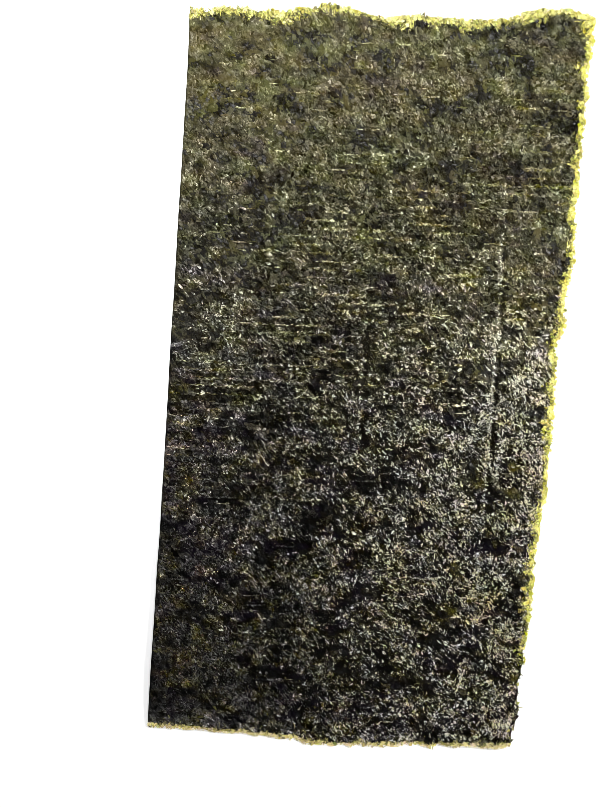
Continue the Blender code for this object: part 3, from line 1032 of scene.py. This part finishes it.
def shreds(x, y, heading, bend, length, width, crest, stations, rng, kink=KINK):
    """Curled shreds: a path that turns by bend along its length, with a random kink at each station, pinched
    at both ends as sin(pi t) ** 0.6, and a three-sided section whose crest stands over edges that are sunk
    in the web."""
    count = len(x)
    t = np.linspace(0.0, 1.0, stations)
    middle = (t[:-1] + t[1:]) / 2
    angle = heading[:, None] + bend[:, None] * (middle - 0.5) + rng.normal(0.0, kink, (count, stations - 1))
    step = length[:, None] / (stations - 1)
    path_x = np.concatenate([np.zeros((count, 1)), np.cumsum(np.cos(angle) * step, axis=1)], axis=1)
    path_y = np.concatenate([np.zeros((count, 1)), np.cumsum(np.sin(angle) * step, axis=1)], axis=1)
    path_x += x[:, None] - path_x.mean(axis=1, keepdims=True)
    path_y += y[:, None] - path_y.mean(axis=1, keepdims=True)
    along = heading[:, None] + bend[:, None] * (t - 0.5)
    full = np.sin(np.pi * t) ** 0.6 * rng.uniform(0.6, 1.3, (count, stations))
    half = width[:, None] / 2 * full
    edge_x, edge_y = -np.sin(along) * half, np.cos(along) * half
    left = np.stack([path_x + edge_x, path_y + edge_y, 0 * path_x], axis=-1)
    right = np.stack([path_x - edge_x, path_y - edge_y, 0 * path_x], axis=-1)
    top = np.stack([path_x, path_y, crest[:, None] * full], axis=-1)
    ring = np.stack([right, top, left], axis=2)
    ring[..., 2] += web_top(ring[..., 0], ring[..., 1])
    ring[:, :, (0, 2), 2] -= SHRED_SINK
    ring[..., 2] = np.maximum(ring[..., 2], LOWEST)
    ends = np.stack([top[:, 0], top[:, -1]], axis=1)
    ends[..., 2] = np.maximum(web_top(ends[..., 0], ends[..., 1]) - SHRED_SINK / 2, LOWEST)
    inner = ring[:, 1:-1].reshape(count, -1, 3)
    points = np.concatenate([inner, ends], axis=1).reshape(-1, 3)

    each = 3 * (stations - 2) + 2
    start = each * np.arange(count)[:, None, None]
    first = 3 * np.arange(stations - 3)[:, None]
    side, next_side = np.array([0, 1, 2]), np.array([1, 2, 0])
    quads = np.stack([first + side, first + 3 + side, first + 3 + next_side, first + next_side], axis=-1)
    near, far, last = each - 2, each - 1, 3 * (stations - 3)
    near_cap = np.stack([np.full(3, near), side, next_side], axis=1)
    far_cap = np.stack([np.full(3, far), last + next_side, last + side], axis=1)
    quads = (start + quads.reshape(-1, 4)).reshape(-1, 4)
    caps = (start + np.concatenate([near_cap, far_cap])).reshape(-1, 3)
    return points, (quads, caps), each


def row_height(x, y):
    """y of the nearest reed row at each place."""
    return np.round((y - REED_CLIMB * x) / REED_PITCH) * REED_PITCH + REED_CLIMB * x


def settled(x, y, rng):
    """Places and headings after the slurry drained: where the reeds show plainly, most flakes lie close to a
    row and along it. The others lie roughly the way that the water ran off."""
    row_y = row_height(x, y) + rng.normal(0.0, ROW_STRAY, len(x))
    on_row = rng.random(len(x)) < 0.8 * reedy(x, y)
    along_row = rng.normal(REED_CLIMB, 0.3, len(x))
    heading = np.where(on_row, along_row, rng.normal(DRAINED_HEADING, 0.65, len(x)))
    return np.where(on_row, row_y, y), heading


def curled_flakes(name, per_row, seed, stations, lengths, widths, crests, paler, gloss, sheen):
    """One kind of shred: fewer, wider and lower towards the far end, and finest at the near right."""
    x, y, rng = strewn(per_row, seed)
    y, heading = settled(x, y, rng)
    wanted = covered(x, y, 0.04, 0.96) * (1.0 - 5.0 * np.clip(y - 0.01, 0.0, 0.08))
    x, y, heading = thinned(rng, wanted * (rim_distance(x, y) > SHRED_MARGIN), x, y, heading)
    far, fine = np.maximum(y, 0.0), near_right(x, y)
    bend, length, width, crest = within(rng, len(x), (-SHRED_BEND, SHRED_BEND), lengths, widths, crests)
    length *= 1.15 + 1.5 * y - 0.2 * fine
    width *= 1.1 + 8.0 * far - 0.05 * fine
    crest *= np.clip(0.8 - 4.5 * y, 0.4, 1.1)
    points, faces, each = shreds(x, y, heading, bend, length, width, crest, stations, rng)
    rows, dash = reedy(x, y), on_dash(x, y)
    tone = own_tone(x, y, rng) + paler + rows * (DASH_HIGHLIGHT * dash - BESIDE_SHADE) + 0.08 * fine
    tone = np.minimum(tone, PALEST_TONE - FAR_TONE_LOSS * np.tanh(far / 0.03))
    values = flake_values(x, y, tone, each, rng)
    values["richness"] += np.repeat(DASH_RICHNESS * rows * dash, each)
    finished_object(name, points, faces, flake_finish(name, TONES, gloss, sheen, 0.5), **values)


for kind in SHRED_KINDS:
    curled_flakes(*kind)

# ==== Reed strands ====
# Long threads of leaf that settled along the reeds of the drying mat, and dried pale and fine.

STRANDS_PER_ROW = 44
STRAND_SEED = 401
STRAND_STATIONS = 8
STRAND_LENGTH = (0.0014, 0.0046)
STRAND_WIDTH = (0.00050, 0.00090)
STRAND_CREST = (0.00008, 0.00014)
STRAND_KINK = 0.10
STRAND_STRAY = 0.00009  # from its row
STRAND_MARGIN = 0.0060
STRAND_RICHNESS = 0.35  # how much richer its colour is than the web's


def part_way(span, share):
    """The number that share of the way from a span's first number to its second."""
    return span[0] + (span[1] - span[0]) * share


def reed_strands():
    """Strands on the reeds' rows, most on their pale dashes and where the reeds show plainly."""
    x, y, rng = strewn(STRANDS_PER_ROW, STRAND_SEED)
    y = row_height(x, y) + rng.normal(0.0, STRAND_STRAY, len(y))
    wanted = 1.6 * np.maximum(reedy(x, y) - 0.15, 0.0) * (0.15 + 1.2 * on_dash(x, y)) * (1 - hollow(x, y))
    x, y = thinned(rng, wanted * (rim_distance(x, y) > STRAND_MARGIN), x, y)
    count = len(x)
    heading = REED_CLIMB + rng.normal(0.0, 0.02, count)
    length = part_way(STRAND_LENGTH, rng.random(count) ** 2)
    width = rng.uniform(*STRAND_WIDTH, count)
    bend, crest = rng.normal(0.0, 0.1, count), rng.uniform(*STRAND_CREST, count)
    points, faces, each = shreds(x, y, heading, bend, length, width, crest, STRAND_STATIONS, rng, STRAND_KINK)
    tone = 0.38 + 0.6 * paleness(x, y) + 0.35 * (rng.random(count) - 0.5)
    values = flake_values(x, y, tone, each, rng, 0.15)
    values["richness"] += STRAND_RICHNESS
    finish = flake_finish("strand", TONES, 0.40, 0.1, 1.0)
    finished_object("strands", points, faces, finish, **values)


reed_strands()

# ==== Crease flakes ====
# Flakes that the mat's threads pushed up into a broken ridge on the left of each crease. They stand proud of
# the sheet, and are painted the palest of all, a painted highlight along the lit lip.

CREASE_FLAKE_GAP = 0.00020  # along a crease, for each flake
CREASE_FLAKE_SEED = 451
CREASE_FLAKE_LENGTH = (0.0005, 0.0015)
CREASE_FLAKE_WIDTH = (0.00035, 0.00080)
CREASE_FLAKE_CREST = (0.00014, 0.00032)
# painted highlight: the crease flakes are given the palest tones
CREASE_FLAKE_HIGHLIGHT_TONE = (0.5, 1.15)
CREASE_FLAKE_STRAY = 0.00030
CREASE_FLAKE_MARGIN = 0.003
RIDGE_BLOBS = ((0.003, 0.0022), 461)
SHORT_STATIONS = 4


def crease_flakes():
    """Flakes along each crease's lip, in blobs, at random places on its line."""
    rng = np.random.default_rng(CREASE_FLAKE_SEED)
    count = int((TOP_LEFT[1] - BOTTOM_LEFT[1]) / CREASE_FLAKE_GAP)
    along = [rng.uniform(BOTTOM_LEFT[1], TOP_LEFT[1], count) for _ in CREASES]
    x = np.concatenate([crease_line(number, y) for number, y in enumerate(along)])
    y = np.concatenate(along)
    x += rng.normal(-0.7 * CREASE_REACH, CREASE_FLAKE_STRAY, len(x))
    wanted = as_share(0.6 + 1.2 * clouds(x, y, *RIDGE_BLOBS)) * (crease(x, y)[1] - 0.12)
    x, y = thinned(rng, wanted * (rim_distance(x, y) > CREASE_FLAKE_MARGIN), x, y)
    count = len(x)
    heading, bend = rng.normal(np.pi / 2, 0.8, count), rng.normal(0.0, 0.8, count)
    sizes = within(rng, count, CREASE_FLAKE_LENGTH, CREASE_FLAKE_WIDTH, CREASE_FLAKE_CREST)
    points, faces, each = shreds(x, y, heading, bend, *sizes, SHORT_STATIONS, rng)
    values = flake_values(x, y, rng.uniform(*CREASE_FLAKE_HIGHLIGHT_TONE, count), each, rng)
    finish = flake_finish("crease_flake", TONES, 0.22, 0.3, 0.5)
    finished_object("crease_flakes", points, faces, finish, **values)


crease_flakes()

# ==== Margin crumbs ====
# Loose scraps at the three ragged sides, where the slurry thinned out under the frame of the mat. They are a
# single leaf thick, so they let the light through and look yellow.

CRUMB_GAP = 0.00008  # along the margin, for each crumb
CRUMB_SEED = 501
CRUMB_SIZE = (0.00032, 0.00130)
CRUMB_DEPTH = (-0.00030, 0.0034)  # how far in from the rim they lie
CRUMB_CUP = (0.00002, 0.00014)
CRUMB_SKIRT = 0.00008
CRUMB_CORNERS = 7
WISP_GAP = 0.00010
WISP_SEED = 511
WISP_LENGTH = (0.0006, 0.0024)
WISP_WIDTH = (0.00014, 0.00034)
WISP_CREST = (0.00010, 0.00024)
MARGIN_CLUMPS = ((0.12, (0.0028, 0.0028), 142), (0.2, (0.0011, 0.0011), 143))
MARGIN_TONES = ((0.0, SOOT), (0.2, OLIVE), (0.42, YELLOW_OLIVE), (0.68, THIN_YELLOW), (1.0, PALE_YELLOW))

# The ragged sides: line, axis that it runs along, way in from it, how much browner its crumbs are
MARGINS = ((BOTTOM_SIDE, 0, 1.0, 0.06), (TOP_SIDE, 0, -1.0, -0.04), (RAGGED_SIDE, 1, -1.0, 0.0))


def along_margin(gap, rng):
    """Places along the ragged sides, one for each gap: x, y, how far in from the rim as a share of the depth,
    the heading straight out, and how much browner the side's crumbs are."""
    places = []
    for (distance, across), axis, inward, browner in MARGINS:
        count = int((distance[-1] - distance[0]) / gap)
        along = part_way((distance[0], distance[-1]), rng.random(count))
        share = rng.random(count) ** 1.5
        there = np.interp(along, distance, across) + inward * part_way(CRUMB_DEPTH, share)
        x, y = (along, there) if axis == 0 else (there, along)
        outward = np.full(count, -inward * np.pi / 2 if axis == 0 else 0.0)
        places.append((x, y, share, outward, np.full(count, browner)))
    return [np.concatenate(column) for column in zip(*places, strict=True)]


def margin_values(x, y, browner, each, rng):
    """What a margin flake's finish reads. It is yellowest where the web is thinnest, and different from clump
    to clump. The far margin is paler, and the near one browner and greyer."""
    thin = as_share(1.6 * thinness(x, y))
    tone = 0.12 + 0.72 * thin + cloudy(x, y, MARGIN_CLUMPS) - browner - 1.2 * y
    own = {
        "tone": tone + rng.normal(0.0, 0.24, len(x)),
        "variety": np.full(len(x), 0.5),
        "tint": np.where(browner > 0, -0.25, 0.35) + rng.normal(0.0, 0.45, len(x)),
        "richness": np.where(browner == 0, 1.08, 0.95) + rng.normal(0.0, 0.1, len(x)),
    }
    return {name: np.repeat(value, each) for name, value in own.items()}


def margin_crumbs():
    """Crumbs of every heading, most of them small, where the web is thinnest."""
    rng = np.random.default_rng(CRUMB_SEED)
    x, y, share, _, browner = along_margin(CRUMB_GAP, rng)
    x, y, browner = thinned(rng, 0.2 + 1.3 * thinness(x, y) - 0.2 * share, x, y, browner)
    count = len(x)
    size = part_way(CRUMB_SIZE, rng.random(count) ** 2)
    cup, heading = rng.uniform(*CRUMB_CUP, count), rng.uniform(0.0, np.pi, count)
    shape = (heading, size, size * rng.uniform(0.4, 1.0, count), 0.0, cup, CRUMB_SKIRT, CRUMB_CORNERS)
    points, faces, each = leaf_scraps(x, y, *shape, rng)
    finish = flake_finish("thin_crumb", MARGIN_TONES, 0.4, 0.1, 0.5)
    finished_object("margin_crumbs", points, faces, finish, **margin_values(x, y, browner, each, rng))


def margin_wisps():
    """Wisps that point roughly outwards, most of them near the rim."""
    rng = np.random.default_rng(WISP_SEED)
    x, y, share, outward, browner = along_margin(WISP_GAP, rng)
    wanted = (0.1 + 1.3 * thinness(x, y)) * (1.0 - 0.6 * share)
    x, y, outward, browner = thinned(rng, wanted, x, y, outward, browner)
    count = len(x)
    heading = outward + rng.normal(0.0, 0.9, count)
    length, width = within(rng, count, WISP_LENGTH, WISP_WIDTH)
    bend, crest = rng.normal(0.0, 1.0, count), rng.uniform(*WISP_CREST, count)
    points, faces, each = shreds(x, y, heading, bend, length, width, crest, SHORT_STATIONS, rng)
    finish = flake_finish("thin_wisp", MARGIN_TONES, 0.4, 0.1, 0.5)
    finished_object("margin_wisps", points, faces, finish, **margin_values(x, y, browner, each, rng))


margin_crumbs()
margin_wisps()

# ==== Floor, light and view ====
# A plain, nearly white floor, a window at the right, a wide soft box beyond the far end, and a small lamp at
# the near right that makes the crests sparkle.

FLOOR_SIZE = 4.0
FLOOR_COLOUR = (0.92, 0.92, 0.92)
FLOOR_GLOW = 0.3
SKY_STRENGTH = 0.01

# Lights: name, place, aimed at, size, brightness (radiance of its face)
LIGHTS = (
    ("window", (0.24, 0.05, 0.16), (0.0, 0.0, 0.0), (0.12, 0.09), 46.0),
    ("far_softbox", (-0.04, 0.17, 0.20), (-0.01, 0.04, 0.0), (0.20, 0.12), 12.0),
    ("near_sparkle", (0.20, -0.28, 0.60), (0.02, -0.02, 0.0), (0.035, 0.035), 160.0),
)

CAMERA_PLACE = (-0.00671, 0.03061, 0.2583)
CAMERA_TURN = (-7.51, 2.46, 3.94)  # degrees
CAMERA_LENS = 60.0
CAMERA_SENSOR = 36.0


def floor():
    """A square of matt paper that glows a little, to look as white near the sheet as the photo's ground."""
    mesh = bpy.data.meshes.new("floor")
    half = FLOOR_SIZE / 2
    corners = [(-half, -half, 0), (half, -half, 0), (half, half, 0), (-half, half, 0)]
    mesh.from_pydata(corners, [], [(0, 1, 2, 3)])
    material, tree, shader = new_finish("floor_paper")
    inputs = {
        "Base Color": opaque(FLOOR_COLOUR),
        "Roughness": 0.9,
        "Specular IOR Level": 0.1,
        "Emission Color": opaque(CLEAR),
        "Emission Strength": FLOOR_GLOW,
    }
    plug(tree, shader, inputs)
    mesh.materials.append(material)
    placed("floor", mesh)


def light(name, place, target, size, brightness):
    """A rectangular lamp at a place, with its own -Z towards the target."""
    lamp = bpy.data.lights.new(name, "AREA")
    lamp.shape = "RECTANGLE"
    lamp.size, lamp.size_y = size
    lamp.energy = brightness * np.pi * size[0] * size[1]
    holder = placed(name, lamp)
    holder.location = place
    holder.rotation_euler = (Vector(target) - Vector(place)).to_track_quat("-Z", "Y").to_euler()


def sky():
    """A faint, even light from all round."""
    world = bpy.data.worlds.new("studio")
    world.use_nodes = True
    inputs = {"Color": opaque(CLEAR), "Strength": SKY_STRENGTH}
    plug(world.node_tree, world.node_tree.nodes["Background"], inputs)
    bpy.context.scene.world = world


def camera():
    """The photo's view: nearly straight down, from over the sheet's far half."""
    lens = bpy.data.cameras.new("camera")
    lens.sensor_fit = "HORIZONTAL"
    lens.sensor_width = CAMERA_SENSOR
    lens.lens = CAMERA_LENS
    lens.clip_start = 0.01
    holder = placed("camera", lens)
    holder.location = CAMERA_PLACE
    holder.rotation_euler = np.radians(CAMERA_TURN)
    bpy.context.scene.camera = holder


floor()
for lamp_values in LIGHTS:
    light(*lamp_values)
sky()
camera()
bpy.context.scene.view_settings.view_transform = "Standard"

bpy.context.scene.cycles.filter_width = 0.6
